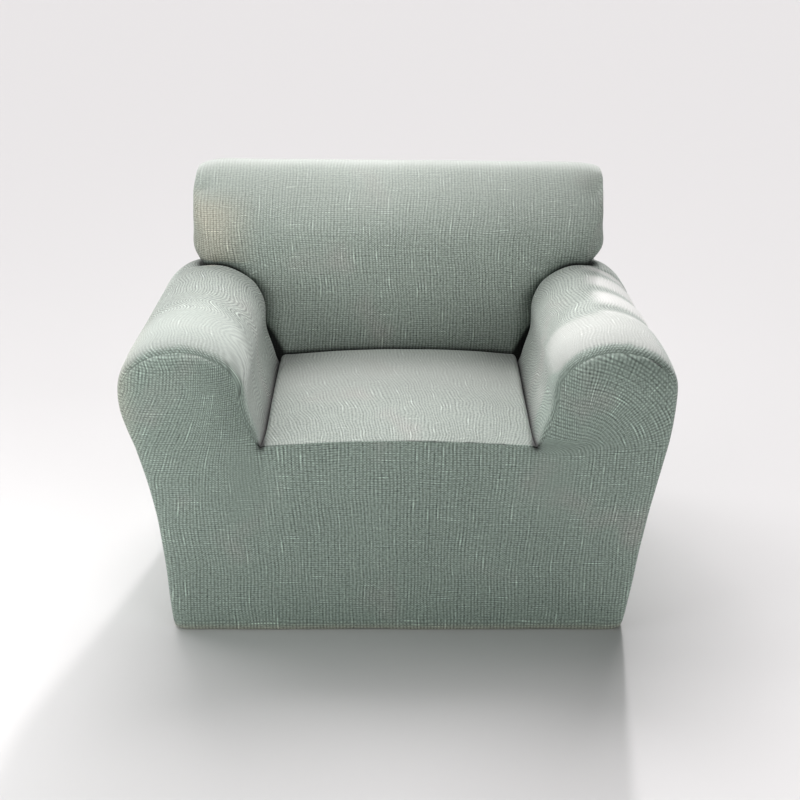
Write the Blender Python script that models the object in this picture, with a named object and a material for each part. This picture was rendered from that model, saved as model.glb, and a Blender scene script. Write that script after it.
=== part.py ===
"""Armchair slipcover: six sewn panels of stretch cloth, in the shape they take on the armchair they cover.

The cover is hollow and open below. Its skin is the outside of three rounded blocks, which are the seat
body, the two arms and the backrest, drawn on one lattice of lines. Each panel is the part of that skin
between its seams, as a closed sheet of even thickness, with a hairline gap to its neighbours.

Metres. +X is to the right seen from the front, +Y runs from the front to the back, +Z is up. The origin
is under the middle of the backrest's top, where the chair carries the cover.
"""

import math

import bpy
from mathutils import Vector

# Cloth
CLOTH = 0.0018  # thickness of the stretch cloth
SEAM_GAP = 0.0003  # between the cut edges of two panels
LEAST_EVENNESS = 0.6
LEAST_TURN = -0.5  # the sharpest turn of a panel's edge at which the seam gap is kept, as a cosine
LEAST_OPENING = 0.3  # the narrowest tuck at which it is kept, as the sine of half its angle

# The cover's form. Heights are above the hem, depths are behind the seat's front edge, and a reach is a
# distance from the chair's middle plane.
SEAT_HALF_WIDTH = 0.275
SEAT_DEPTH = 0.533
SEAT_HEIGHT = 0.421  # along its edges
SEAT_CROWN = 0.012  # how much higher the middle of the seat's front edge is
SEAT_SWELL = 0.014  # how much the cushion stands above that in its middle
CROWN_START = 0.320  # the front below the seat rises with its crown from this height up
ROLL_HEIGHT = 0.530  # where an arm is widest
ARM_TOP = 0.630
ARM_INSIDE = 0.303  # reach of an arm's inner side at the roll
ARM_INSIDE_LEAN = (0.401, 0.500)  # heights between which that side leans out from the seat
ARM_FRONT_CROWN = 0.010  # how far the middle of an arm's front stands out
ARM_HALF_THICKNESS = 0.110
ARM_TAPER_DEPTHS = (0.000, 0.600)  # depths between which an arm's overhang past the hem gets less
ARM_TAPERS = (0.23, 0.38)  # how much of the left and the right arm's overhang is lost there
ARM_END = (0.600, 0.800)  # depths between which the overhang dies away
ARM_END_SHARE = 0.35  # how much of that overhang is left at the rear
ARM_END_FALL = 0.035  # how far an arm's top falls beside the backrest
BACK_HALF_WIDTH = 0.468
BACK_SHOULDERS = (0.690, 0.770)  # above these heights its front and its rear bend into its round top
BACK_TOP = 0.831
BACK_TILT = 0.005  # how much higher the top is at its left end than in the middle
BACK_LEAN = 0.150  # metres back for each metre up, from the seat
BACK_CROWN = 0.018  # how far the middle of the backrest stands forward
REAR_DEPTH = 0.765  # the rear face at the hem
REAR_LEAN = 0.030

# Tucks are where the cloth is pushed down between two cushions. Each depth is of the fold's bottom line.
SEAT_TUCK = 0.024
SEAT_TUCK_START = (-0.020, 0.100)  # beside the seat the tuck gets deep between these depths
ARM_TUCK = 0.014
LEDGE_TUCK = 0.006  # where an arm passes beside the backrest
TUCK_LIP = 0.018  # from the fold line round an arm to where the backrest's cloth lies flat again
PARTING = 0.5  # how far the backrest's columns of cloth follow an arm aside, from 0 to 1
PARTING_START = 0.490  # the height they do so from
CORNER_HOLLOW = 0.006  # in the front, where the seat's edge meets the arms
CORNER_HOLLOW_REACH = 0.030
CORNER_HOLLOW_HEIGHT = 0.040

# The right arm's cover is loose towards the rear, so soft troughs run round the outer half of its roll.
# The lattice has a row in each trough and one between them.
LOOSE_FOLDS = (
    # depth, trough
    (0.252, 0.0045),
    (0.376, 0.0060),
    (0.488, 0.0050),
)
LOOSE_FOLDS_REACH = (0.420, 0.470)  # where on the roll the troughs fade in
LOOSE_FOLDS_HEIGHT = (0.430, 0.540)

# Radii of the rounded edges. The lattice line along an edge lies in the middle of its rounding.
EDGE_RADIUS = 0.024
ARM_FRONT_RADIUS = 0.055  # round the front of an arm's roll
ARM_FRONT_START = (0.420, 0.530)  # between these heights that radius grows from the one of the other edges
BACK_END_RADIUS = 0.036
TOP_CORNER_RADII = (0.040, 0.025)  # the backrest's left and right upper corners
MIDDLE_CUT = 1.0 - math.sqrt(0.5)  # how far a rounding's middle is drawn in, in radii

# The hem's turned-under edge
HEM_ROWS = (
    # inset, height
    (0.026, 0.003),
    (0.007, 0.000),
)

# The reach of an arm's outer side, at the front
ARM_OUTSIDES = (
    # height, left, right
    (0.000, 0.474, 0.471),
    (0.110, 0.480, 0.488),
    (0.230, 0.491, 0.506),
    (0.350, 0.511, 0.529),
    (0.430, 0.534, 0.545),
    (0.480, 0.556, 0.554),
    (0.530, 0.562, 0.559),
)

# Lattice lines. Columns go from the middle outwards: first by their reach on the seat, down to its tuck,
# then across an arm, from -1 at its inner side to 1 at its outer side. The backrest's end stands on the
# fourth line of an arm.
SEAT_COLUMNS = (0.0, 0.100, 0.190, 0.245, 0.266, SEAT_HALF_WIDTH)
ARM_COLUMNS = (-1.0, -0.55, -0.10, 0.30, 0.68, 1.0)
BACK_COLUMNS = (SEAT_HALF_WIDTH, 0.345, 0.415, BACK_HALF_WIDTH)
ROWS = (
    0.0,
    0.034,
    0.100,
    0.190,
    LOOSE_FOLDS[0][0],
    0.314,
    LOOSE_FOLDS[1][0],
    0.432,
    LOOSE_FOLDS[2][0],
    0.512,
    SEAT_DEPTH,
    0.572,
    0.630,
    0.690,
    0.738,
    REAR_DEPTH,
)
SEAT_EDGE_ROW = 0.014  # the seat's own place for its second row, close to the edge, which is crisp
LEVELS = (
    *(height for _, height in HEM_ROWS),
    0.026,
    0.120,
    0.220,
    0.320,
    0.402,
    SEAT_HEIGHT,
    0.450,
    0.490,
    ROLL_HEIGHT,
    0.568,
    0.603,
    ARM_TOP,
    0.650,
    BACK_SHOULDERS[0],
    0.730,
    BACK_SHOULDERS[1],
    0.796,
    0.819,
    BACK_TOP,
)

TUCK_COLUMN = len(SEAT_COLUMNS) - 1
BACK_END_COLUMN = TUCK_COLUMN + len(BACK_COLUMNS) - 1
OUTER_COLUMN = TUCK_COLUMN + len(ARM_COLUMNS) - 1
BACK_ROW = ROWS.index(SEAT_DEPTH)
REAR_ROW = len(ROWS) - 1
SEAT_LEVEL = LEVELS.index(SEAT_HEIGHT)
ARM_LEVEL = LEVELS.index(ARM_TOP)
TOP_LEVEL = len(LEVELS) - 1

ORIGIN_ROW = ROWS.index(0.630)  # the origin is under the backrest's top at this row, on the middle line


def step(low, high, value):
    """0 up to low, 1 from high, and a soft rise between them."""
    share = min(max((value - low) / (high - low), 0.0), 1.0)
    return share * share * (3.0 - 2.0 * share)


def read_table(table, column, height):
    """A column of a table whose rows are sorted by height, read between its rows."""
    for low, high in zip(table, table[1:]):
        if height <= high[0]:
            share = (height - low[0]) / (high[0] - low[0])
            return low[column] + share * (high[column] - low[column])
    return table[-1][column]


def bend_round(across, up):
    """Bends the square -1..1 by 0..1 into half a disc, corners included."""
    return across * math.sqrt(1.0 - up * up / 2.0), up * math.sqrt(1.0 - across * across / 2.0)


def edge_inset(radius, distance):
    """How far the cloth is drawn in at a distance from where a rounded edge would be if it were sharp."""
    share = min(max(1.0 - distance / radius, 0.0), 1.0)
    return radius * (1.0 - math.sqrt(1.0 - share * share))


def arm_inside(height):
    """The arm's inner side leans outwards from the tuck to the roll."""
    return SEAT_HALF_WIDTH + (ARM_INSIDE - SEAT_HALF_WIDTH) * step(*ARM_INSIDE_LEAN, height)


def arm_outside(side, height, depth):
    """The arm's outer side, whose overhang past the hem tapers and then dies away towards the rear."""
    column = 1 if side < 0 else 2
    hem = ARM_OUTSIDES[0][column]
    overhang = read_table(ARM_OUTSIDES, column, height) - hem
    tapered = 1.0 - ARM_TAPERS[column - 1] * step(*ARM_TAPER_DEPTHS, depth)
    return hem + overhang * (tapered + (ARM_END_SHARE - tapered) * step(*ARM_END, depth))


def roll_share(height):
    """0 up to an arm's widest line and 1 at its top."""
    return min(max((height - ROLL_HEIGHT) / (ARM_TOP - ROLL_HEIGHT), 0.0), 1.0)


def arm_section(side, across, height, depth, drawn_in=0.0):
    """Reach and height of a point in an arm's cross-section, which is half an ellipse above the roll's
    widest line. drawn_in moves the point towards the roll's centre."""
    inside, outside = arm_inside(height), arm_outside(side, height, depth)
    middle, half = (inside + outside) / 2.0, (outside - inside) / 2.0
    round_across, round_up = bend_round(across, roll_share(height))
    centre = Vector((middle, min(height, ROLL_HEIGHT)))
    place = centre + Vector((half * round_across, (ARM_TOP - ROLL_HEIGHT) * round_up))
    place -= (place - centre).normalized() * drawn_in
    return place.x, place.y


def loose_fold(side, reach, height, row):
    """How far the right arm's roll is drawn in at one of its troughs."""
    if side < 0:
        return 0.0
    outwards = step(*LOOSE_FOLDS_REACH, reach) * step(*LOOSE_FOLDS_HEIGHT, height)
    return dict(LOOSE_FOLDS).get(ROWS[row], 0.0) * outwards


def back_front(height):
    """Depth of the backrest's front face, before its crown."""
    return SEAT_DEPTH + BACK_LEAN * max(height - SEAT_HEIGHT, 0.0)


def depth_of(row, height):
    """Depth of a lattice row, which leans with the backrest's front and with the rear face."""
    front, rear = back_front(height), REAR_DEPTH + REAR_LEAN * height
    if row <= BACK_ROW:
        return ROWS[row] * front / SEAT_DEPTH
    return front + (rear - front) * (ROWS[row] - SEAT_DEPTH) / (REAR_DEPTH - SEAT_DEPTH)


def seat_point(column, row):
    """The seat: crowned, crisp at the front, and turned down into the tucks behind and beside it."""
    reach = SEAT_COLUMNS[column]
    depth = SEAT_EDGE_ROW if row == 1 else ROWS[row]
    across, along = reach / SEAT_HALF_WIDTH, 2.0 * depth / SEAT_DEPTH - 1.0
    height = SEAT_HEIGHT + SEAT_CROWN * (1.0 - across**2) + SEAT_SWELL * (1.0 - across**4) * (1.0 - along**4)
    if column == TUCK_COLUMN:
        height -= SEAT_TUCK * step(*SEAT_TUCK_START, depth)
    elif row == BACK_ROW:
        height -= SEAT_TUCK
    return reach, depth, height


def arm_tuck_point(side, column, level):
    """The fold line where an arm runs into the backrest's front."""
    across = ARM_COLUMNS[column - TUCK_COLUMN]
    reach, height = arm_section(side, across, LEVELS[level], SEAT_DEPTH, ARM_TUCK)
    return reach, back_front(height) + ARM_TUCK, height


def lip_point(side, column, level):
    """A point of the backrest's front just outside the fold line round an arm."""
    across = ARM_COLUMNS[max(column - TUCK_COLUMN, 0)]
    reach, height = arm_section(side, across, LEVELS[min(level, ARM_LEVEL)], SEAT_DEPTH)
    outwards = Vector((-float(column < TUCK_COLUMN), float(level > ARM_LEVEL))).normalized() * TUCK_LIP
    return reach + outwards.x, height + outwards.y


def back_crown(reach, height):
    """How far the backrest's front stands forward of its flat."""
    upright = (height - SEAT_HEIGHT) / (BACK_TOP - SEAT_HEIGHT)
    across = 1.0 - (reach / BACK_HALF_WIDTH) ** 2
    return BACK_CROWN * across * math.sin(math.pi * min(max(upright, 0.0), 1.0))


def back_point(side, column, row, level):
    """The backrest, above the seat and the arms."""
    height = LEVELS[level]
    reach = SEAT_COLUMNS[column] if column < TUCK_COLUMN else BACK_COLUMNS[column - TUCK_COLUMN]
    if row == BACK_ROW and column >= TUCK_COLUMN - 1 and level <= ARM_LEVEL + 1:
        reach, height = lip_point(side, column, level)
    elif row == BACK_ROW and level <= ARM_LEVEL + 2:
        # the columns part softly round the arm
        aside = arm_section(side, ARM_COLUMNS[max(column - TUCK_COLUMN, 0)], ARM_TOP, SEAT_DEPTH)[0]
        nearness = min(column / TUCK_COLUMN, 1.0) ** 3 * step(PARTING_START, ARM_TOP, height)
        reach += PARTING * nearness * (aside - reach)
    front, rear = depth_of(BACK_ROW, height), depth_of(REAR_ROW, height)
    along = 2.0 * (depth_of(row, height) - front) / (rear - front) - 1.0
    shoulder = BACK_SHOULDERS[0] if along < 0.0 else BACK_SHOULDERS[1]
    up = max((height - shoulder) / (BACK_TOP - shoulder), 0.0)
    tilt = side * BACK_TILT * reach / BACK_HALF_WIDTH * step(BACK_SHOULDERS[0], BACK_TOP, height)
    round_along, round_up = bend_round(along, up)
    depth = (front + rear) / 2.0 + round_along * (rear - front) / 2.0
    height = min(height, shoulder) + (BACK_TOP - shoulder) * round_up - tilt
    if row == BACK_ROW:
        depth -= back_crown(reach, height)
    if column == BACK_END_COLUMN:
        radius = TOP_CORNER_RADII[0 if side < 0 else 1]
        share = max(LEVELS[level] - BACK_SHOULDERS[1], 0.0) / (BACK_TOP - BACK_SHOULDERS[1])
        drop = MIDDLE_CUT * radius * share
        height -= drop
        reach -= edge_inset(radius, BACK_TOP - LEVELS[level] + drop)
        if row in (BACK_ROW, REAR_ROW):
            reach -= MIDDLE_CUT * BACK_END_RADIUS
            depth += MIDDLE_CUT * BACK_END_RADIUS * (1.0 if row == BACK_ROW else -1.0)
    return reach, depth, height


def is_arm_edge(column, row, level):
    """Whether a point lies on the edge round an arm's front, or on the part of its rear that shows."""
    is_outer = column == OUTER_COLUMN or level == ARM_LEVEL and column > BACK_END_COLUMN
    is_inner = column == TUCK_COLUMN and level > SEAT_LEVEL or level == ARM_LEVEL
    return row == 0 and (is_outer or is_inner) or row == REAR_ROW and is_outer


def front_radius(height):
    """Radius of the edge round an arm's front."""
    return EDGE_RADIUS + (ARM_FRONT_RADIUS - EDGE_RADIUS) * step(*ARM_FRONT_START, height)


def edge_draw(column, row, level):
    """How far a point of an arm is drawn in towards the roll's centre by the rounding of its ends."""
    if row == REAR_ROW:
        return MIDDLE_CUT * EDGE_RADIUS if is_arm_edge(column, row, level) else 0.0
    if row > 1 or not is_arm_edge(column, 0, level):
        return 0.0
    radius = front_radius(LEVELS[level])
    return edge_inset(radius, max(ROWS[row], MIDDLE_CUT * radius))


def front_setback(across, level):
    """How far a point of an arm's front lies behind its sharp edge. Its middle stands out."""
    height, radius = LEVELS[level], front_radius(LEVELS[level])
    roll = roll_share(height)
    outwards = math.hypot(*bend_round(across, roll)) if level > SEAT_LEVEL else max(across, 0.0)
    inset = edge_inset(radius, max((1.0 - outwards) * ARM_HALF_THICKNESS, MIDDLE_CUT * radius))
    crown = (1.0 - across * across) * (1.0 - roll * roll) * step(0.0, SEAT_HEIGHT, height)
    return inset - ARM_FRONT_CROWN * crown


def body_point(side, column, row, level):
    """The front, the arms, the outer sides and the rear, up to the arms' tops."""
    height = LEVELS[level]
    if column < TUCK_COLUMN:
        reach = SEAT_COLUMNS[column]
        crown = SEAT_CROWN * (1.0 - (reach / SEAT_HALF_WIDTH) ** 2)
        height += crown * step(CROWN_START, SEAT_HEIGHT, height)
        depth = depth_of(row, height)
    else:
        across = ARM_COLUMNS[column - TUCK_COLUMN]
        drawn_in = edge_draw(column, row, level)
        reach, height = arm_section(side, across, height, ROWS[row], drawn_in)
        fold = loose_fold(side, reach, height, row)
        if fold:
            reach, height = arm_section(side, across, LEVELS[level], ROWS[row], fold)
        if row > BACK_ROW and height > SEAT_HEIGHT:
            outwards = min((column - TUCK_COLUMN) / (BACK_END_COLUMN - TUCK_COLUMN), 1.0)
            fall = ARM_END_FALL * outwards * step(SEAT_DEPTH, REAR_DEPTH, ROWS[row])
            height -= fall * (height - SEAT_HEIGHT) / (ARM_TOP - SEAT_HEIGHT)
        depth = depth_of(row, height)
        if row == 0:
            depth += front_setback(across, level)
        elif row == REAR_ROW:
            depth -= drawn_in
    if level == ARM_LEVEL and row > BACK_ROW and column == BACK_END_COLUMN:
        height -= LEDGE_TUCK
    if row == 0:
        sideways = (reach - SEAT_HALF_WIDTH) / CORNER_HOLLOW_REACH
        upwards = (height - SEAT_HEIGHT) / CORNER_HOLLOW_HEIGHT
        depth += CORNER_HOLLOW * math.exp(-(sideways**2) - upwards**2)
    if level < len(HEM_ROWS):
        inset, height = HEM_ROWS[level]
        depth += inset * ((row == 0) - (row == REAR_ROW))
        reach -= inset * (column == OUTER_COLUMN)
    return reach, depth, height


def place(column, row, level):
    """Where a lattice point of the skin lies. Columns left of the middle are negative."""
    side = -1 if column < 0 else 1
    column = abs(column)
    on_arm = column >= TUCK_COLUMN and level <= ARM_LEVEL
    if level == SEAT_LEVEL and column <= TUCK_COLUMN and row <= BACK_ROW:
        reach, depth, height = seat_point(column, row)
    elif row == BACK_ROW and level > SEAT_LEVEL and on_arm and column <= BACK_END_COLUMN:
        reach, depth, height = arm_tuck_point(side, column, level)
    elif row == BACK_ROW and level > SEAT_LEVEL and column < TUCK_COLUMN or level > ARM_LEVEL:
        reach, depth, height = back_point(side, column, row, level)
    else:
        reach, depth, height = body_point(side, column, row, level)
    return Vector((side * reach, depth, height))


def is_filled(column, row, level):
    """Whether the lattice cell to the right of, behind and above these lines is inside the chair."""
    outwards = column if column >= 0 else -column - 1
    if not (outwards < OUTER_COLUMN and 0 <= row < REAR_ROW and 0 <= level < TOP_LEVEL):
        return False
    is_base = level < SEAT_LEVEL
    is_arm = outwards >= TUCK_COLUMN and level < ARM_LEVEL
    is_back = outwards < BACK_END_COLUMN and row >= BACK_ROW
    return is_base or is_arm or is_back


def panel_name(column, row, level, facing):
    """Which panel a filled cell's side belongs to."""
    if facing[1] > 0:
        return "outside_back_panel"
    if facing[1] < 0:
        return "front_panel" if row == 0 else "back_panel"
    if facing[2] and level == SEAT_LEVEL - 1:
        return "seat_panel"
    if level >= ARM_LEVEL:
        return "back_panel"
    return "arm_panel_left" if column < 0 else "arm_panel_right"


# The corners of a cell's sides, anticlockwise seen from outside. A cell's underside is never skin.
CELL_SIDES = {
    (1, 0, 0): ((1, 0, 0), (1, 1, 0), (1, 1, 1), (1, 0, 1)),
    (-1, 0, 0): ((0, 1, 0), (0, 0, 0), (0, 0, 1), (0, 1, 1)),
    (0, 1, 0): ((1, 1, 0), (0, 1, 0), (0, 1, 1), (1, 1, 1)),
    (0, -1, 0): ((0, 0, 0), (1, 0, 0), (1, 0, 1), (0, 0, 1)),
    (0, 0, 1): ((0, 0, 1), (1, 0, 1), (1, 1, 1), (0, 1, 1)),
}


def skin_faces():
    """Each panel's faces, as four lattice points: the sides of filled cells without a filled neighbour."""
    panels = {}
    for column in range(-OUTER_COLUMN, OUTER_COLUMN):
        for row in range(REAR_ROW):
            for level in range(TOP_LEVEL):
                if not is_filled(column, row, level):
                    continue
                for facing, corners in CELL_SIDES.items():
                    if is_filled(column + facing[0], row + facing[1], level + facing[2]):
                        continue
                    face = tuple((column + x, row + y, level + z) for x, y, z in corners)
                    panels.setdefault(panel_name(column, row, level, facing), []).append(face)
    return panels


def skin_normals(points, panels):
    """The skin's outward direction at each point, lengthened so that an offset keeps the cloth's thickness.

    At a seam it halves the angle between the panels. At a sharp fold it is lengthened no more than
    LEAST_EVENNESS allows.
    """
    around = {key: {} for key in points}
    for name, faces in panels.items():
        for face in faces:
            a, b, c, d = (points[key] for key in face)
            normal = (c - a).cross(d - b).normalized()
            for key in face:
                around[key][name] = around[key].get(name, Vector()) + normal
    normals = {}
    for key, found in around.items():
        sides = [normal.normalized() for normal in found.values()]
        normal = sum(sides, Vector()).normalized()
        evenness = sum(normal.dot(side) for side in sides) / len(sides)
        normals[key] = normal / max(evenness, LEAST_EVENNESS)
    return normals


def edges_of(face):
    return zip(face, face[1:] + face[:1])


def open_edges(faces):
    """The edges of these faces that only one of them has, with that face."""
    owners = {edge: face for face in faces for edge in edges_of(face)}
    return {edge: face for edge, face in owners.items() if edge[::-1] not in owners}


def seam_shifts(points, normals, faces):
    """How far each point on a panel's seams moves into the panel, to leave half of SEAM_GAP there.

    A seam is a wall that stands along the normals. A point moves until it is clear of the walls of the
    seam's edges on both of its sides, and it moves along its own panel, which in a tuck slants away from
    the wall.
    """
    walls = {}
    inwards = {}
    for (start, end), face in open_edges(faces).items():
        if start[2] == 0 and end[2] == 0:
            continue
        along = (points[end] - points[start]).normalized()
        inward = sum((points[key] for key in face), Vector()) / 4.0 - points[start]
        inward = (inward - along * inward.dot(along)).normalized()
        for key in (start, end):
            wall = normals[key].cross(along).normalized()
            walls.setdefault(key, []).append(wall if wall.dot(inward) > 0.0 else -wall)
            inwards[key] = inwards.get(key, Vector()) + inward
    shifts = {}
    for key, found in walls.items():
        away = sum(found, Vector()) / (1.0 + max(found[0].dot(found[-1]), LEAST_TURN))
        if len(found) == 1:
            away = found[0]
        normal = normals[key].normalized()
        slant = inwards[key].dot(normal) / max(inwards[key].dot(away.normalized()), LEAST_OPENING)
        shifts[key] = (away + normal * slant * away.length) * SEAM_GAP / 2.0
    return shifts


def cloth_material(name):
    """Matt grey-green stretch cloth."""
    material = bpy.data.materials.new(name)
    material.use_nodes = True
    shader = material.node_tree.nodes["Principled BSDF"]
    shader.inputs["Base Color"].default_value = (0.31, 0.37, 0.33, 1.0)
    shader.inputs["Roughness"].default_value = 0.9
    shader.inputs["Metallic"].default_value = 0.0
    return material


def make_panel(name, faces, points, normals, origin):
    """One panel as a closed sheet: its outer face, its inner face and the cut edge round it.

    The cut edge is in triangles, split the same way on both sides of a seam, so that two panels never meet.
    """
    shifts = seam_shifts(points, normals, faces)
    keys = sorted({key for face in faces for key in face})
    number = {key: count for count, key in enumerate(keys)}
    outer = [points[key] + shifts.get(key, Vector()) - origin for key in keys]
    inner = [point - CLOTH * normals[key] for key, point in zip(keys, outer)]
    mesh_faces = [tuple(number[key] for key in face) for face in faces]
    mesh_faces += [tuple(count + len(keys) for count in reversed(face)) for face in mesh_faces]
    for start, end in sorted(open_edges(faces)):
        a, b = number[start], number[end]
        a_in, b_in = a + len(keys), b + len(keys)
        mesh_faces += [(b, a, b_in), (a, a_in, b_in)] if start < end else [(b, a, a_in), (b, a_in, b_in)]
    mesh = bpy.data.meshes.new(name)
    mesh.from_pydata(outer + inner, [], mesh_faces)
    mesh.update()
    mesh.shade_smooth()
    mesh.set_sharp_from_angle(angle=math.radians(50))
    mesh.materials.append(cloth_material(name + "_cloth"))
    panel = bpy.data.objects.new(name, mesh)
    bpy.context.scene.collection.objects.link(panel)


def main():
    for old in list(bpy.data.objects):
        bpy.data.objects.remove(old, do_unlink=True)
    panels = skin_faces()
    points = {key: place(*key) for faces in panels.values() for face in faces for key in face}
    normals = skin_normals(points, panels)
    under_top = (0, ORIGIN_ROW, TOP_LEVEL)
    origin = points[under_top] - CLOTH * normals[under_top]
    for name, faces in panels.items():
        make_panel(name, faces, points, normals, origin)


main()
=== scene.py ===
# %% [markdown]
# # A stretch slipcover for an armchair
#
# A slipcover is a skin of elastic cloth that is pulled over a whole armchair. The chair is not modelled:
# what shows is the cloth alone, stretched over a seat, two rolled arms and a backrest that are not there.
# The lesson builds that skin once, as one smooth surface, and then cuts it into its six sewn panels.
#
# The first cell brings in the fixed solids that the cover has to agree with. They give its size.

import math

import bpy
import numpy as np
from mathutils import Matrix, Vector, kdtree, noise


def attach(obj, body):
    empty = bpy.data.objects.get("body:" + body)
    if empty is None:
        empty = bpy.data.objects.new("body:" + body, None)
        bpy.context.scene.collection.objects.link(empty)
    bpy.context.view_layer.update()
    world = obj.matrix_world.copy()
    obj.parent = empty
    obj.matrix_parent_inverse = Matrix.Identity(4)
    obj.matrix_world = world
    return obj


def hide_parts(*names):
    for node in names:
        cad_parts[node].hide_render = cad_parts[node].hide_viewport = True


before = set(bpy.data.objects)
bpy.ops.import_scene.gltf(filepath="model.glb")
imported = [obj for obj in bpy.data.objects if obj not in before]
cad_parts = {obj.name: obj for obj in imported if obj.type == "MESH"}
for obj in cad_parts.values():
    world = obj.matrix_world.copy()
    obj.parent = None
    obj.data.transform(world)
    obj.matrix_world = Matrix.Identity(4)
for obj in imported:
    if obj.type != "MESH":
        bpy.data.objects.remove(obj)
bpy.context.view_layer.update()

# %% [markdown]
# ## Camera
#
# The cover is looked at from in front and from above, with a fairly long lens, so that its sides run
# nearly parallel. A camera in Blender looks along its own -Z, so turning it up from straight down by
# 90 degrees less the pitch aims it.

# %% Camera
CAMERA_PLACE = (0.0, -3.4883, 0.8497)
CAMERA_PITCH = math.radians(22.38)
CAMERA_LENS = 69.46
CAMERA_SHIFT = 0.0019

scene = bpy.context.scene
camera = bpy.data.objects.new("camera", bpy.data.cameras.new("camera"))
camera.location = CAMERA_PLACE
camera.rotation_euler = (math.pi / 2 - CAMERA_PITCH, 0.0, 0.0)
camera.data.lens = CAMERA_LENS
camera.data.shift_x = CAMERA_SHIFT
scene.collection.objects.link(camera)
scene.camera = camera
print("camera pitch", round(math.degrees(CAMERA_PITCH), 1), "degrees")

# %% [markdown]
# ## Floor and light
#
# The cover stands on a pale floor under soft studio light. Most of it comes from behind and above, so the
# flat tops shine almost white, while the upright faces get what two boxes and the floor throw back, which
# is what lets the weave read there. Two small boxes hang close over the seat and the left arm. One hard low
# sun behind shines past the backrest on the front ends of the arms. The broad lights are suns with a wide
# angle, because a sun lights the floor evenly as far as the eye goes.

# %% Floor and light
HEM_HEIGHT = -0.8283  # the hem, seen from the origin under the backrest's top
FLOOR_GAP = 0.001
FLOOR_SIZE = 60.0
FLOOR_COLOUR = (0.66, 0.66, 0.66, 1.0)
LIGHT_TARGET = Vector((0.0, -0.30, -0.35))
WARM = (1.0, 0.965, 0.975)
COOL = (0.96, 1.0, 0.975)
SUNS = (
    # name, degrees round from the front towards +X, degrees up, spread in degrees, strength, colour
    ("rear_key", 180, 45, 40, 2.80, WARM),
    ("rear_left_key", -135, 45, 40, 1.10, WARM),
    ("front_right_fill", 45, 20, 40, 0.82, COOL),
    ("low_rear_sun", 170, 27, 3, 1.90, WARM),
)
BOXES = (
    # name, place, side, watts, colour
    ("front_left_box", (-2.17, -1.56, 0.32), 1.2, 19.0, COOL),
    ("left_box", (-1.84, -0.30, 1.49), 1.2, 4.0, COOL),
    ("near_left_box", (-0.50, -0.50, 0.60), 0.6, 2.4, WARM),
    ("near_middle_box", (0.0, -0.30, 0.60), 0.6, 3.4, WARM),
)


def add_light(light, colour, place_at):
    light.color = colour
    lamp = bpy.data.objects.new(light.name, light)
    lamp.location = place_at
    lamp.rotation_euler = (LIGHT_TARGET - Vector(place_at)).to_track_quat("-Z", "Y").to_euler()
    lamp.visible_camera = False
    scene.collection.objects.link(lamp)


for name, turn, rise, spread, strength, colour in SUNS:
    light = bpy.data.lights.new(name, "SUN")
    light.angle = math.radians(spread)
    light.energy = strength
    turn, rise = math.radians(turn), math.radians(rise)
    upwards = Vector((math.sin(turn) * math.cos(rise), -math.cos(turn) * math.cos(rise), math.sin(rise)))
    add_light(light, colour, LIGHT_TARGET + upwards)
for name, place_at, side, watts, colour in BOXES:
    light = bpy.data.lights.new(name, "AREA")
    light.shape = "SQUARE"
    light.size = side
    light.energy = watts
    add_light(light, colour, place_at)

SKY_COLOUR = (0.90, 0.90, 0.90, 1.0)
floor_mesh = bpy.data.meshes.new("studio_floor")
half = FLOOR_SIZE / 2
corners = [(x * half, y * half, HEM_HEIGHT - FLOOR_GAP) for x, y in ((-1, -1), (1, -1), (1, 1), (-1, 1))]
floor_mesh.from_pydata(corners, [], [(0, 1, 2, 3)])
floor = bpy.data.objects.new("studio_floor", floor_mesh)
scene.collection.objects.link(floor)
floor_paint = bpy.data.materials.new("studio_floor")
floor_paint.use_nodes = True
floor_shader = floor_paint.node_tree.nodes["Principled BSDF"]
floor_shader.inputs["Base Color"].default_value = FLOOR_COLOUR
floor_shader.inputs["Roughness"].default_value = 1.0
floor_shader.inputs["Specular IOR Level"].default_value = 0.0
floor_mesh.materials.append(floor_paint)

world = bpy.data.worlds.new("studio")
world.use_nodes = True
sky = world.node_tree.nodes["Background"]
sky.inputs["Color"].default_value = SKY_COLOUR
# the sky is pale to look at, but the lamps alone light the cover
light_path = world.node_tree.nodes.new("ShaderNodeLightPath")
world.node_tree.links.new(light_path.outputs["Is Camera Ray"], sky.inputs["Strength"])
scene.world = world
scene.view_settings.view_transform = "Standard"
print(len(SUNS), "suns and", len(BOXES), "soft boxes")

# %% [markdown]
# ## The cover's sizes
#
# The same sizes that shaped the solids shape the cloth, in metres. Heights are above the hem, depths are
# behind the seat's front edge, and a reach is a distance from the middle. A seat cushion, an arm and a
# backrest each need only a few of them.

# %% Sizes
CLOTH = 0.0018
SEAT_HALF_WIDTH = 0.275
SEAT_DEPTH = 0.533
SEAT_HEIGHT = 0.421
SEAT_CROWN = 0.012
SEAT_SWELL = 0.014
CROWN_START = 0.320
ROLL_HEIGHT = 0.530
ARM_TOP = 0.630
ARM_INSIDE = 0.303
ARM_INSIDE_LEAN = (0.401, 0.500)
ARM_FRONT_CROWN = 0.010
ARM_HALF_THICKNESS = 0.110
ARM_TAPER_DEPTHS = (0.0, 0.600)
ARM_TAPERS = {-1: 0.23, 1: 0.38}
ARM_END = (0.600, 0.800)
ARM_END_SHARE = 0.35
ARM_END_FALL = 0.035
BACK_HALF_WIDTH = 0.468
BACK_SHOULDERS = (0.690, 0.770)  # front, rear
BACK_TOP = 0.831
BACK_TILT = 0.005
BACK_LEAN = 0.150
BACK_CROWN = 0.018
REAR_DEPTH = 0.765
REAR_LEAN = 0.030
SEAT_TUCK = 0.024
SEAT_TUCK_START = (-0.020, 0.100)
ARM_TUCK = 0.014
LEDGE_TUCK = 0.006
TUCK_LIP = 0.018
PARTING = 0.5
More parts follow.
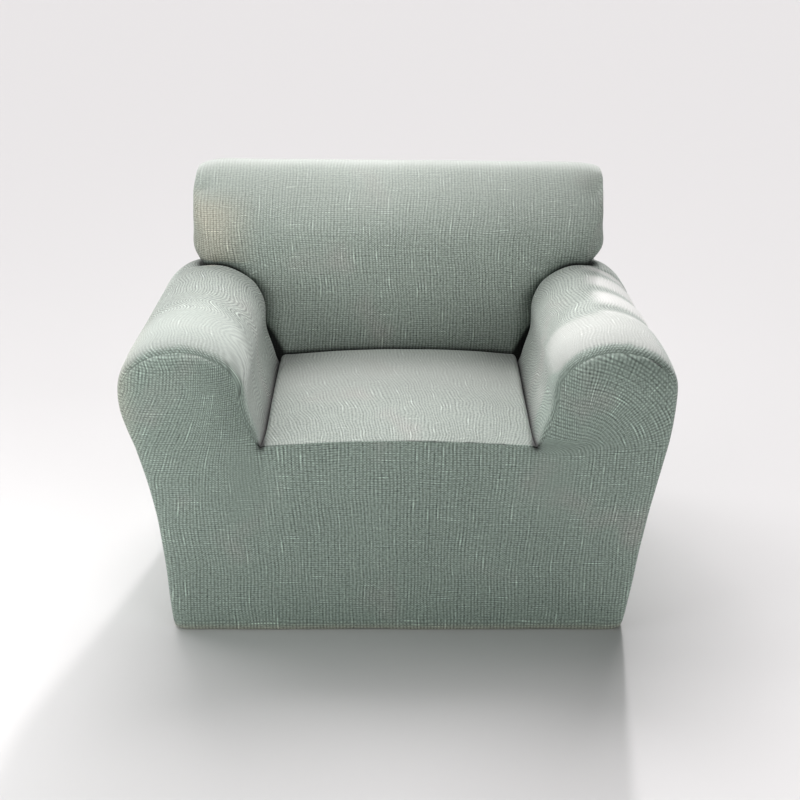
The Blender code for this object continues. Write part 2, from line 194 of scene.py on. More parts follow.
PARTING_START = 0.490
CORNER_HOLLOW = 0.006
CORNER_HOLLOW_REACH = 0.030
CORNER_HOLLOW_HEIGHT = 0.040
LOOSE_FOLDS = {0.252: 0.0045, 0.376: 0.0060, 0.488: 0.0050}  # depth: trough, on the right arm
LOOSE_FOLDS_REACH = (0.420, 0.470)
LOOSE_FOLDS_HEIGHT = (0.430, 0.540)
EDGE_RADIUS = 0.024
ARM_FRONT_RADIUS = 0.055
ARM_FRONT_START = (0.420, 0.530)
BACK_END_RADIUS = 0.036
TOP_CORNER_RADII = {-1: 0.040, 1: 0.025}
MIDDLE_CUT = 1.0 - math.sqrt(0.5)  # how far a rounding's middle is drawn in, in radii
HEM_ROWS = ((0.026, 0.003), (0.007, 0.000))  # inset, height
ARM_OUTSIDES = {
    # side: (height, reach) at the front
    -1: ((0.0, 0.474), (0.11, 0.480), (0.23, 0.491), (0.35, 0.511), (0.43, 0.534), (0.48, 0.556), (0.53, 0.562)),
    1: ((0.0, 0.471), (0.11, 0.488), (0.23, 0.506), (0.35, 0.529), (0.43, 0.545), (0.48, 0.554), (0.53, 0.559)),
}

# %% [markdown]
# ## A lattice to hang the cloth on
#
# Cloth over upholstery is easiest to shape on a lattice of lines: columns across, rows from front to back
# and levels up. A box of lattice cells is full where the chair would be, and the cloth is the outside of
# the full cells. One function then says where each lattice point lies, so that neighbouring panels meet
# along their seams without any fitting.

# %% Lattice lines
SEAT_COLUMNS = (0.0, 0.100, 0.190, 0.245, 0.266, SEAT_HALF_WIDTH)
ARM_COLUMNS = (-1.0, -0.55, -0.10, 0.30, 0.68, 1.0)
BACK_COLUMNS = (SEAT_HALF_WIDTH, 0.345, 0.415, BACK_HALF_WIDTH)
ROWS = (0, 0.034, 0.1, 0.19, 0.252, 0.314, 0.376, 0.432, 0.488, 0.512, SEAT_DEPTH)
ROWS += (0.572, 0.63, 0.69, 0.738, REAR_DEPTH)
SEAT_EDGE_ROW = 0.014
LEVELS = (0.003, 0, 0.026, 0.12, 0.22, 0.32, 0.402, SEAT_HEIGHT, 0.45, 0.49, ROLL_HEIGHT, 0.568, 0.603, ARM_TOP)
LEVELS += (0.65, BACK_SHOULDERS[0], 0.73, BACK_SHOULDERS[1], 0.796, 0.819, BACK_TOP)

TUCK_COLUMN = len(SEAT_COLUMNS) - 1
BACK_END_COLUMN = TUCK_COLUMN + len(BACK_COLUMNS) - 1
OUTER_COLUMN = TUCK_COLUMN + len(ARM_COLUMNS) - 1
BACK_ROW = ROWS.index(SEAT_DEPTH)
REAR_ROW = len(ROWS) - 1
HEM_LEVEL = len(HEM_ROWS)
SEAT_LEVEL = LEVELS.index(SEAT_HEIGHT)
ARM_LEVEL = LEVELS.index(ARM_TOP)
SHOULDER_LEVEL = LEVELS.index(BACK_SHOULDERS[0])
TOP_LEVEL = len(LEVELS) - 1


def step(low, high, value):
    """0 up to low, 1 from high, and a soft rise between them, for a number or an array."""
    share = np.clip((value - low) / (high - low), 0.0, 1.0)
    return share * share * (3.0 - 2.0 * share)


def bend_round(across, up):
    """Bends the square -1..1 by 0..1 into half a disc, corners included."""
    return across * math.sqrt(1.0 - up * up / 2.0), up * math.sqrt(1.0 - across * across / 2.0)


def edge_inset(radius, distance):
    """How far the cloth is drawn in at a distance from where a rounded edge would be if it were sharp."""
    share = np.clip(1.0 - distance / radius, 0.0, 1.0)
    return radius * (1.0 - math.sqrt(1.0 - share * share))


print(len(LEVELS), "levels,", len(ROWS), "rows,", 2 * OUTER_COLUMN + 1, "columns")

# %% [markdown]
# ## An arm's cross-section
#
# A rolled arm is a straight wall with half an ellipse on top. Its outer side overhangs the hem. The
# overhang tapers towards the rear and dies away there, where the cloth is stretched flat beside the
# backrest.


# %% Arm
def arm_outside(side, height, depth):
    heights, reaches = zip(*ARM_OUTSIDES[side])
    overhang = np.interp(height, heights, reaches) - reaches[0]
    tapered = 1.0 - ARM_TAPERS[side] * step(*ARM_TAPER_DEPTHS, depth)
    return reaches[0] + overhang * (tapered + (ARM_END_SHARE - tapered) * step(*ARM_END, depth))


def roll_share(height):
    """0 up to an arm's widest line and 1 at its top."""
    return np.clip((height - ROLL_HEIGHT) / (ARM_TOP - ROLL_HEIGHT), 0.0, 1.0)


def arm_section(side, across, height, depth, drawn_in=0.0):
    """Reach and height of a point of the section, moved towards the roll's centre by drawn_in."""
    inside = SEAT_HALF_WIDTH + (ARM_INSIDE - SEAT_HALF_WIDTH) * step(*ARM_INSIDE_LEAN, height)
    outside = arm_outside(side, height, depth)
    round_across, round_up = bend_round(across, roll_share(height))
    centre = Vector(((inside + outside) / 2.0, min(height, ROLL_HEIGHT)))
    spot = centre + Vector(((outside - inside) / 2.0 * round_across, (ARM_TOP - ROLL_HEIGHT) * round_up))
    spot -= (spot - centre).normalized() * drawn_in
    return spot.x, spot.y


def loose_fold(side, reach, height, row):
    outwards = step(*LOOSE_FOLDS_REACH, reach) * step(*LOOSE_FOLDS_HEIGHT, height)
    return LOOSE_FOLDS.get(ROWS[row], 0.0) * outwards if side > 0 else 0.0


print("arm roll", round(arm_outside(1, ROLL_HEIGHT, 0.0) - ARM_INSIDE, 3), "m across")

# %% [markdown]
# ## Seat, tucks and backrest
#
# The cover is pushed down between the cushions, which leaves a dark fold, called a tuck, round the seat
# and round the inner end of each arm. The backrest's cloth lies flat again a finger's width away from the
# fold, and the seat is crowned by its cushion.


# %% Seat and backrest
def back_front(height):
    return SEAT_DEPTH + BACK_LEAN * max(height - SEAT_HEIGHT, 0.0)


def depth_of(row, height):
    """Depth of a row, which leans with the backrest's front and with the rear."""
    front, rear = back_front(height), REAR_DEPTH + REAR_LEAN * height
    if row <= BACK_ROW:
        return ROWS[row] * front / SEAT_DEPTH
    return front + (rear - front) * (ROWS[row] - SEAT_DEPTH) / (REAR_DEPTH - SEAT_DEPTH)


def seat_point(column, row):
    reach = SEAT_COLUMNS[column]
    depth = SEAT_EDGE_ROW if row == 1 else ROWS[row]
    across, along = reach / SEAT_HALF_WIDTH, 2.0 * depth / SEAT_DEPTH - 1.0
    height = SEAT_HEIGHT + SEAT_CROWN * (1.0 - across**2) + SEAT_SWELL * (1.0 - across**4) * (1.0 - along**4)
    if column == TUCK_COLUMN:
        height -= SEAT_TUCK * step(*SEAT_TUCK_START, depth)
    elif row == BACK_ROW:
        height -= SEAT_TUCK
    return reach, depth, height


def arm_tuck_point(side, column, level):
    across = ARM_COLUMNS[column - TUCK_COLUMN]
    reach, height = arm_section(side, across, LEVELS[level], SEAT_DEPTH, ARM_TUCK)
    return reach, back_front(height) + ARM_TUCK, height


def lip_point(side, column, level):
    across = ARM_COLUMNS[max(column - TUCK_COLUMN, 0)]
    reach, height = arm_section(side, across, LEVELS[min(level, ARM_LEVEL)], SEAT_DEPTH)
    outwards = Vector((-float(column < TUCK_COLUMN), float(level > ARM_LEVEL))).normalized() * TUCK_LIP
    return reach + outwards.x, height + outwards.y


def back_crown(reach, height):
    upright = np.clip((height - SEAT_HEIGHT) / (BACK_TOP - SEAT_HEIGHT), 0.0, 1.0)
    return BACK_CROWN * (1.0 - (reach / BACK_HALF_WIDTH) ** 2) * math.sin(math.pi * upright)


def back_point(side, column, row, level):
    height = LEVELS[level]
    reach = SEAT_COLUMNS[column] if column < TUCK_COLUMN else BACK_COLUMNS[column - TUCK_COLUMN]
    if row == BACK_ROW and column >= TUCK_COLUMN - 1 and level <= ARM_LEVEL + 1:
        reach, height = lip_point(side, column, level)
    elif row == BACK_ROW and level <= ARM_LEVEL + 2:
        # the columns of cloth part softly round the arm
        aside = arm_section(side, ARM_COLUMNS[max(column - TUCK_COLUMN, 0)], ARM_TOP, SEAT_DEPTH)[0]
        nearness = min(column / TUCK_COLUMN, 1.0) ** 3 * step(PARTING_START, ARM_TOP, height)
        reach += PARTING * nearness * (aside - reach)
    front, rear = depth_of(BACK_ROW, height), depth_of(REAR_ROW, height)
    along = 2.0 * (depth_of(row, height) - front) / (rear - front) - 1.0
    shoulder = BACK_SHOULDERS[0] if along < 0.0 else BACK_SHOULDERS[1]
    up = max((height - shoulder) / (BACK_TOP - shoulder), 0.0)
    tilt = side * BACK_TILT * reach / BACK_HALF_WIDTH * step(BACK_SHOULDERS[0], BACK_TOP, height)
    round_along, round_up = bend_round(along, up)
    depth = (front + rear) / 2.0 + round_along * (rear - front) / 2.0
    height = min(height, shoulder) + (BACK_TOP - shoulder) * round_up - tilt
    if row == BACK_ROW:
        depth -= back_crown(reach, height)
    if column == BACK_END_COLUMN:
        radius = TOP_CORNER_RADII[side]
        share = max(LEVELS[level] - BACK_SHOULDERS[1], 0.0) / (BACK_TOP - BACK_SHOULDERS[1])
        drop = MIDDLE_CUT * radius * share
        height -= drop
        reach -= edge_inset(radius, BACK_TOP - LEVELS[level] + drop)
        if row in (BACK_ROW, REAR_ROW):
            reach -= MIDDLE_CUT * BACK_END_RADIUS
            depth += MIDDLE_CUT * BACK_END_RADIUS * (1.0 if row == BACK_ROW else -1.0)
    return reach, depth, height


# %% [markdown]
# ## Front, outer sides and rear
#
# Below the seat the cover is an apron that runs round the chair. Its front is nearly flat, with a small
# hollow where the seat's edge meets each arm, and the hem turns under at the bottom.


# %% Front, sides and rear
def is_arm_edge(column, row, level):
    is_outer = column == OUTER_COLUMN or level == ARM_LEVEL and column > BACK_END_COLUMN
    is_inner = column == TUCK_COLUMN and level > SEAT_LEVEL or level == ARM_LEVEL
    return row == 0 and (is_outer or is_inner) or row == REAR_ROW and is_outer


def front_radius(height):
    return EDGE_RADIUS + (ARM_FRONT_RADIUS - EDGE_RADIUS) * step(*ARM_FRONT_START, height)


def edge_draw(column, row, level):
    """How far a point of an arm is drawn in towards the roll's centre by the rounding of its ends."""
    if row == REAR_ROW:
        return MIDDLE_CUT * EDGE_RADIUS if is_arm_edge(column, row, level) else 0.0
    if row > 1 or not is_arm_edge(column, 0, level):
        return 0.0
    radius = front_radius(LEVELS[level])
    return edge_inset(radius, max(ROWS[row], MIDDLE_CUT * radius))


def front_setback(across, level):
    """How far a point of an arm's front lies behind its sharp edge. Its middle stands out."""
    height, radius = LEVELS[level], front_radius(LEVELS[level])
    roll = roll_share(height)
    outwards = math.hypot(*bend_round(across, roll)) if level > SEAT_LEVEL else max(across, 0.0)
    inset = edge_inset(radius, max((1.0 - outwards) * ARM_HALF_THICKNESS, MIDDLE_CUT * radius))
    crown = (1.0 - across * across) * (1.0 - roll * roll) * step(0.0, SEAT_HEIGHT, height)
    return inset - ARM_FRONT_CROWN * crown


def body_point(side, column, row, level):
    height = LEVELS[level]
    if column < TUCK_COLUMN:
        reach = SEAT_COLUMNS[column]
        crown = SEAT_CROWN * (1.0 - (reach / SEAT_HALF_WIDTH) ** 2)
        height += crown * step(CROWN_START, SEAT_HEIGHT, height)
        depth = depth_of(row, height)
    else:
        across = ARM_COLUMNS[column - TUCK_COLUMN]
        drawn_in = edge_draw(column, row, level)
        reach, height = arm_section(side, across, height, ROWS[row], drawn_in)
        fold = loose_fold(side, reach, height, row)
        if fold:
            reach, height = arm_section(side, across, LEVELS[level], ROWS[row], fold)
        if row > BACK_ROW and height > SEAT_HEIGHT:
            outwards = min((column - TUCK_COLUMN) / (BACK_END_COLUMN - TUCK_COLUMN), 1.0)
            fall = ARM_END_FALL * outwards * step(SEAT_DEPTH, REAR_DEPTH, ROWS[row])
            height -= fall * (height - SEAT_HEIGHT) / (ARM_TOP - SEAT_HEIGHT)
        depth = depth_of(row, height)
        if row == 0:
            depth += front_setback(across, level)
        elif row == REAR_ROW:
            depth -= drawn_in
    if level == ARM_LEVEL and row > BACK_ROW and column == BACK_END_COLUMN:
        height -= LEDGE_TUCK
    if row == 0:
        sideways = (reach - SEAT_HALF_WIDTH) / CORNER_HOLLOW_REACH
        upwards = (height - SEAT_HEIGHT) / CORNER_HOLLOW_HEIGHT
        depth += CORNER_HOLLOW * math.exp(-(sideways**2) - upwards**2)
    if level < HEM_LEVEL:
        inset, height = HEM_ROWS[level]
        depth += inset * ((row == 0) - (row == REAR_ROW))
        reach -= inset * (column == OUTER_COLUMN)
    return reach, depth, height


def place(column, row, level):
    """Where a lattice point lies, above the hem and behind the seat's edge. Left of the middle is negative."""
    side = -1 if column < 0 else 1
    column = abs(column)
    on_arm = column >= TUCK_COLUMN and level <= ARM_LEVEL
    if level == SEAT_LEVEL and column <= TUCK_COLUMN and row <= BACK_ROW:
        reach, depth, height = seat_point(column, row)
    elif row == BACK_ROW and level > SEAT_LEVEL and on_arm and column <= BACK_END_COLUMN:
        reach, depth, height = arm_tuck_point(side, column, level)
    elif row == BACK_ROW and level > SEAT_LEVEL and column < TUCK_COLUMN or level > ARM_LEVEL:
        reach, depth, height = back_point(side, column, row, level)
    else:
        reach, depth, height = body_point(side, column, row, level)
    return Vector((side * reach, depth, height))


print("arm top at", [round(part, 3) for part in place(BACK_END_COLUMN, 1, ARM_LEVEL)])

# %% [markdown]
# ## The skin's faces and its panels
#
# A side of a full cell is skin where its neighbour is empty. Each such face belongs to one sewn panel: the
# seat, the backrest with its top and ends, the outside back, an arm, or the front, which is the apron and
# both arm fronts in one.

# %% Faces of the skin
PANELS = ("front_panel", "arm_panel_left", "arm_panel_right", "seat_panel", "back_panel", "outside_back_panel")
FRONT, ARM_LEFT, ARM_RIGHT, SEAT, BACK, OUTSIDE_BACK = range(len(PANELS))
CELL_SIDES = {
    # facing: corners, anticlockwise from outside
    (1, 0, 0): ((1, 0, 0), (1, 1, 0), (1, 1, 1), (1, 0, 1)),
    (-1, 0, 0): ((0, 1, 0), (0, 0, 0), (0, 0, 1), (0, 1, 1)),
    (0, 1, 0): ((1, 1, 0), (0, 1, 0), (0, 1, 1), (1, 1, 1)),
    (0, -1, 0): ((0, 0, 0), (1, 0, 0), (1, 0, 1), (0, 0, 1)),
    (0, 0, 1): ((0, 0, 1), (1, 0, 1), (1, 1, 1), (0, 1, 1)),
}


def is_filled(column, row, level):
    outwards = column if column >= 0 else -column - 1
    if not (outwards < OUTER_COLUMN and 0 <= row < REAR_ROW and 0 <= level < TOP_LEVEL):
        return False
    is_arm = outwards >= TUCK_COLUMN and level < ARM_LEVEL
    is_back = outwards < BACK_END_COLUMN and row >= BACK_ROW
    return level < SEAT_LEVEL or is_arm or is_back


def panel_of(column, row, level, facing):
    if facing[1] > 0:
        return OUTSIDE_BACK
    if facing[1] < 0:
        return FRONT if row == 0 else BACK
    if facing[2] and level == SEAT_LEVEL - 1:
        return SEAT
    if level >= ARM_LEVEL:
        return BACK
    return ARM_LEFT if column < 0 else ARM_RIGHT


skin_faces = []  # four lattice points, panel, facing
for column in range(-OUTER_COLUMN, OUTER_COLUMN):
    for row in range(REAR_ROW):
        for level in range(TOP_LEVEL):
            if not is_filled(column, row, level):
                continue
            for facing, corners in CELL_SIDES.items():
                if not is_filled(column + facing[0], row + facing[1], level + facing[2]):
                    face = [(column + x, row + y, level + z) for x, y, z in corners]
                    skin_faces.append((face, panel_of(column, row, level, facing), facing))
spots = {key: place(*key) for face, _, _ in skin_faces for key in face}
print(len(skin_faces), "lattice faces")

# %% [markdown]
# ## Cloth coordinates
#
# A weave has to follow the cloth, not the room, so each face gets coordinates that are measured along the
# cloth: u across the columns of thread and v along them, in metres. Walking along a lattice line and adding
# up its steps gives them. Straight runs keep their own height or reach, so the rows of thread stay level.

# %% Cloth coordinates on the lattice


def walk(keys):
    """Distance along a chain of lattice points, from its first one."""
    total, run = 0.0, {}
    for before, key in zip([None, *keys], keys):
        total += (spots[key] - spots[before]).length if before else 0.0
        run[key] = total
    return run


def round_arm(side, row):
    """An arm's lattice points at one row, from the hem up the outer side and over the roll."""
    inner = BACK_END_COLUMN if row > BACK_ROW else TUCK_COLUMN
    keys = [(side * OUTER_COLUMN, row, level) for level in range(ARM_LEVEL + 1)]
    keys += [(side * column, row, ARM_LEVEL) for column in range(OUTER_COLUMN - 1, inner - 1, -1)]
    if inner == TUCK_COLUMN:
        keys += [(side * TUCK_COLUMN, row, level) for level in range(ARM_LEVEL - 1, SEAT_LEVEL - 1, -1)]
    return keys


around = {}  # distance round an arm, zero where the roll is widest
for side in (-1, 1):
    for row in range(REAR_ROW + 1):
        run = walk(round_arm(side, row))
        start = run[(side * OUTER_COLUMN, row, LEVELS.index(ROLL_HEIGHT))]
        around.update({(side, *key): distance - start for key, distance in run.items()})

over_back = {}  # distance up the backrest's front and over its top
for column in range(-BACK_END_COLUMN, BACK_END_COLUMN + 1):
    keys = [(column, BACK_ROW, level) for level in range(SHOULDER_LEVEL, TOP_LEVEL + 1)]
    keys += [(column, row, TOP_LEVEL) for row in range(BACK_ROW + 1, REAR_ROW + 1)]
    over_back.update({key: BACK_SHOULDERS[0] + distance for key, distance in walk(keys).items()})


def hem_drop(key, height):
    """The height along the cloth, which goes on below the hem's fold."""
    below = (key[0], key[1], HEM_LEVEL)
    return height if key[2] >= HEM_LEVEL else spots[below].z - (spots[below] - spots[key]).length


def cloth_place(key, panel, facing):
    x, y, z = spots[key]
    side = -1 if panel == ARM_LEFT or x < 0 else 1
    if panel in (FRONT, OUTSIDE_BACK):
        return x, hem_drop(key, z)
    if panel == SEAT:
        return x, SEAT_HEIGHT + y
    if panel == BACK and facing[0]:
        return x + facing[0] * (y - SEAT_DEPTH), z
    if panel == BACK:
        return x, over_back.get(key, z)
    return around[(side, *key)], y


print("round an arm", round(max(around.values()) - min(around.values()), 3), "m of cloth")

# %% [markdown]
# ## One smooth skin
#
# A Subdivision Surface rounds the lattice, but it also shrinks it, because a smooth surface stays inside
# its cage. So the cage is pushed out by whatever the surface falls short of, a few times over, until the
# surface passes through the lattice points. Creases keep the tucks and the seat's front fold sharp.

# %% Smooth skin
SMOOTHING_LEVELS = 3
FITTING_ROUNDS = 3
FITTING_SHARE = 0.85
TUCK_CREASE = 1.0
SEAT_FOLD_CREASE = 0.75
REAR_CREASE = 0.45

keys = sorted(spots)
number = {key: count for count, key in enumerate(keys)}
goal = np.array([spots[key] for key in keys])
cage_mesh = bpy.data.meshes.new("skin_cage")
cage_mesh.from_pydata(goal.tolist(), [], [[number[key] for key in face] for face, _, _ in skin_faces])
cage_mesh.update()
cloth_uv = cage_mesh.uv_layers.new(name="cloth")
corner_places = [cloth_place(key, panel, facing) for face, panel, facing in skin_faces for key in face]
cloth_uv.data.foreach_set("uv", np.array(corner_places, dtype=np.float32).ravel())
for polygon, (_, panel, _) in zip(cage_mesh.polygons, skin_faces):
    polygon.material_index = panel
for name in PANELS:
    cage_mesh.materials.append(None)

edge_panels = {}
for face, panel, _ in skin_faces:
    for start, end in zip(face, face[1:] + face[:1]):
        pair = tuple(sorted((number[start], number[end])))
        edge_panels.setdefault(pair, []).append(panel)


def crease_of(panels):
    pair = set(panels)
    if len(pair) < 2:
        return 0.0
    if pair == {SEAT, FRONT}:
        return SEAT_FOLD_CREASE
    if OUTSIDE_BACK in pair:
        return REAR_CREASE
    return 0.0 if FRONT in pair else TUCK_CREASE


creases = cage_mesh.attributes.new("crease_edge", "FLOAT", "EDGE")
for edge in cage_mesh.edges:
    creases.data[edge.index].value = crease_of(edge_panels[tuple(sorted(edge.vertices))])

cage = bpy.data.objects.new("skin_cage", cage_mesh)
scene.collection.objects.link(cage)
smoothing = cage.modifiers.new("smoothing", "SUBSURF")
smoothing.levels = smoothing.render_levels = SMOOTHING_LEVELS
smoothing.uv_smooth = "NONE"


def smooth_mesh():
    """The cage's smooth surface as a plain mesh. Its first points are the cage's own."""
    bpy.context.view_layer.update()
    return bpy.data.meshes.new_from_object(cage.evaluated_get(bpy.context.evaluated_depsgraph_get()))


def points_of(mesh):
    found = np.empty(len(mesh.vertices) * 3)
    mesh.vertices.foreach_get("co", found)
    return found.reshape(-1, 3)


cage_points = goal.copy()
for _ in range(FITTING_ROUNDS):
    trial = smooth_mesh()
    miss = goal - points_of(trial)[: len(goal)]
    cage_points += FITTING_SHARE * miss
    cage_mesh.vertices.foreach_set("co", cage_points.ravel())
    cage_mesh.update()
    bpy.data.meshes.remove(trial)
    print("surface misses the lattice by", round(float(np.abs(miss).max()) * 1000, 1), "mm at most")
skin = smooth_mesh()
bpy.data.objects.remove(cage)
print(len(skin.polygons), "faces on the smooth skin")

# %% [markdown]
# ## Unevenness of stretched cloth
#
# Stretched cloth is never ruler-flat. A broad soft waver and a finer one, both from fixed noise, move the
# surface by a millimetre or so. The hem wavers a little in height too.

# %% Unevenness
WAVERS = (
    # amount, waves in a metre
    (0.0016, 5.0),
    (0.0007, 14.0),
)
HEM_WAVER = 0.0012
HEM_WAVES = 9.0  # in a metre
HEM_WAVER_HEIGHT = 0.06
HEM_NOISE_SLICE = 7.0  # any one slice through the noise

skin_points = points_of(skin)
normals = np.empty_like(skin_points)
skin.vertex_normals.foreach_get("vector", normals.ravel())
waver = np.zeros(len(skin_points))
for amount, waves in WAVERS:
    waver += [amount * noise.noise(Vector(point) * waves) for point in skin_points]
skin_points += normals * waver[:, None]
near_hem = 1.0 - step(0.0, HEM_WAVER_HEIGHT, skin_points[:, 2])
hem_spots = [Vector((x, y, HEM_NOISE_SLICE)) * HEM_WAVES for x, y, _ in skin_points]
skin_points[:, 2] += near_hem * [HEM_WAVER * noise.noise(spot) for spot in hem_spots]
skin.vertices.foreach_set("co", skin_points.ravel())
skin.update()
skin.vertex_normals.foreach_get("vector", normals.ravel())
print("waver up to", round(float(np.abs(waver).max()) * 1000, 2), "mm")

# %% [markdown]
# ## Where the threads run
#
# A stretch cover is pulled about as it goes on, so its columns of thread lean, fan out and bend round the
# arms. Here the cloth's coordinates are read again from the smooth surface and are shifted by how far the
# cloth was dragged. A column is then the line along which u keeps its value.

# %% Threads
APRON_SPREAD = 0.07
APRON_SPREAD_HEIGHT = (0.15, 0.42)
# height, and how far inwards the columns of the left arm's front are dragged there
LEFT_ARM_DRAG = ((0.25, 0.0), (0.35, 0.012), (0.42, 0.036), (0.48, 0.066))
LEFT_ARM_DRAG += ((0.54, 0.092), (0.585, 0.096), (0.64, 0.070))
LEFT_ARM_DRAG_REACH = (0.275, 0.430)
RIGHT_ARM_CENTRE = (0.360, 0.405)  # reach and height that the columns bend round
RIGHT_ARM_TURN = 0.035  # the height over which they start to bend
RIGHT_ARM_RADIUS = 0.120
RIGHT_ARM_SLOPE = 0.15  # how much they still rise on the inner side
SEAT_DRAG = 0.20
SEAT_FAN = 0.30
ARM_RIPPLES = {ARM_LEFT: 0.011, ARM_RIGHT: 0.004}
ARM_RIPPLE_LENGTH = 0.155
ARM_RIPPLE_LAG = 9.0  # how much later a ripple comes further round the arm, in radians a metre
ARM_RIPPLE_SWING = (1.1, 23.0)  # makes the ripples uneven, in radians and in radians a metre
ARM_RIPPLE_START = (0.06, 0.16)
ARM_SLANTS = {ARM_LEFT: 0.15, ARM_RIGHT: -0.45}
ARM_SLANT_START = (0.24, 0.36)  # round the arm, where its inner side begins
BACK_WANDER = 0.004
BACK_WANDER_TURNS = (4.0, 21.0)  # across and up, in radians a metre
HEM_BLEND_HEIGHT = (0.030, 0.090)  # above the hem's fold the front's rows are simply level

faces = np.empty(len(skin.polygons) * 4, dtype=int)
skin.polygons.foreach_get("vertices", faces)
faces = faces.reshape(-1, 4)
face_panels = np.empty(len(faces), dtype=int)
skin.polygons.foreach_get("material_index", face_panels)
corner_uv = np.empty(len(faces) * 8)
skin.uv_layers["cloth"].data.foreach_get("uv", corner_uv)
corner_uv = corner_uv.reshape(-1, 4, 2)
faces_in_a_cell = len(faces) // len(skin_faces)
is_end = np.repeat([panel == BACK and facing[0] != 0 for _, panel, facing in skin_faces], faces_in_a_cell)


def front_threads(x, z, v):
    u = x - np.clip(x, -SEAT_HALF_WIDTH, SEAT_HALF_WIDTH) * APRON_SPREAD * step(*APRON_SPREAD_HEIGHT, z)
    v = v + (z - v) * step(*HEM_BLEND_HEIGHT, z)
    v = v - SEAT_CROWN * np.clip(1.0 - (x / SEAT_HALF_WIDTH) ** 2, 0.0, 1.0) * step(CROWN_START, SEAT_HEIGHT, z)
    u -= np.interp(z, *zip(*LEFT_ARM_DRAG)) * step(*LEFT_ARM_DRAG_REACH, -x)
    # on the right arm the columns bend over inwards, round a point of the arm's front
    aside, above = x - RIGHT_ARM_CENTRE[0], np.clip(z - RIGHT_ARM_CENTRE[1], 0.0, 1.0)
    turned = step(0.0, RIGHT_ARM_TURN, above)
    above = above * turned
    inner = above + aside * (1.0 - turned * (1.0 - RIGHT_ARM_SLOPE))
    radius = np.where(aside > 0.0, np.hypot(aside, above), inner)
    angle = np.where(aside > 0.0, np.arctan2(above, np.clip(aside, 1e-6, 1.0)), math.pi / 2)
    along = RIGHT_ARM_CENTRE[1] + angle * RIGHT_ARM_RADIUS - np.clip(aside, -1.0, 0.0)
    on_arm = x > SEAT_HALF_WIDTH
    u = np.where(on_arm & (above > 0.0), u + radius - aside, u)
    v = np.where(on_arm & (above > 0.0), v + turned * (along - v), v)
    return u, v


def seat_threads(x, y):
    forward = np.clip(1.0 - y / SEAT_DEPTH, 0.0, 1.0)
    lean = SEAT_DRAG * (1.0 - np.cos(math.pi * forward)) / math.pi
    fan = SEAT_FAN * x / SEAT_HALF_WIDTH * forward**3 / 3.0
    return x - SEAT_DEPTH * (lean - fan), SEAT_HEIGHT + y


def arm_threads(panel, u, y):
    swing, swing_turn = ARM_RIPPLE_SWING
    phase = y * 2.0 * math.pi / ARM_RIPPLE_LENGTH + u * ARM_RIPPLE_LAG + swing * np.sin(y * swing_turn)
    ripple = ARM_RIPPLES[panel] * np.sin(phase) * step(*ARM_RIPPLE_START, y)
    slant = ARM_SLANTS[panel] * step(*ARM_SLANT_START, u) * (y - SEAT_DEPTH)
    return u + ripple + slant, y


def back_threads(x, z):
    turn_across, turn_up = BACK_WANDER_TURNS
    return x + BACK_WANDER * np.sin(z * turn_up + x * turn_across)


x, y, z = np.moveaxis(skin_points[faces], -1, 0)
u, v = corner_uv[..., 0].copy(), corner_uv[..., 1].copy()
for panel in range(len(PANELS)):
    chosen = (face_panels == panel) & ~is_end
    if panel == FRONT:
        u[chosen], v[chosen] = front_threads(x[chosen], z[chosen], v[chosen])
    elif panel == SEAT:
        u[chosen], v[chosen] = seat_threads(x[chosen], y[chosen])
    elif panel in (ARM_LEFT, ARM_RIGHT):
        u[chosen], v[chosen] = arm_threads(panel, u[chosen], y[chosen])
    else:
        u[chosen] = back_threads(x[chosen], z[chosen])
corner_uv = np.stack([u, v], axis=-1)
print("threads run over", round(float(np.ptp(corner_uv[..., 0])), 2), "m across")

# %% [markdown]
# ## Marks of use
#
# The cover isn't even in colour. Shade is painted into it down in its tucks, warm light is painted on at its
# left end, and it is yellower at its hem. Pulling it on also changes the weave: in the hollows beside the seat
# the threads are drawn smooth. The upright faces keep a coarse weave and a greener tone, while the tops are
# painted greyer, with a thinner weave, as painted light.
# Each mark is a number at each point of the surface, which the material reads as an attribute. A formula of
# place and facing gives it. It stays on the cloth from every side, and needs no painted picture.
#
# A tuck, which gets painted shade, is found first, as the points where two panels of the upholstery meet.

# %% Tucks
# Only painted shade marks this fold at the seat's rear left; the fold itself isn't modelled.
CORNER_FOLD = (Vector((-0.272, 0.365, 0.430)), Vector((-0.249, 0.500, 0.430)))  # at the seat's rear left

meeting = np.zeros(len(skin_points), dtype=int)
for panel in (SEAT, BACK, ARM_LEFT, ARM_RIGHT):
    meeting[np.unique(faces[face_panels == panel])] += 1
tuck_points = np.flatnonzero(meeting > 1)
tuck_tree = kdtree.KDTree(len(tuck_points))
for count, point in enumerate(skin_points[tuck_points]):
    tuck_tree.insert(point, count)
tuck_tree.balance()
from_tuck = np.array([tuck_tree.find(point)[2] for point in skin_points])
fold_start, fold_run = np.array(CORNER_FOLD[0]), np.array(CORNER_FOLD[1] - CORNER_FOLD[0])
share = np.clip((skin_points - fold_start) @ fold_run / (fold_run @ fold_run), 0.0, 1.0)
from_fold = np.linalg.norm(skin_points - fold_start - share[:, None] * fold_run, axis=1)
print(len(tuck_points), "points lie in a tuck")
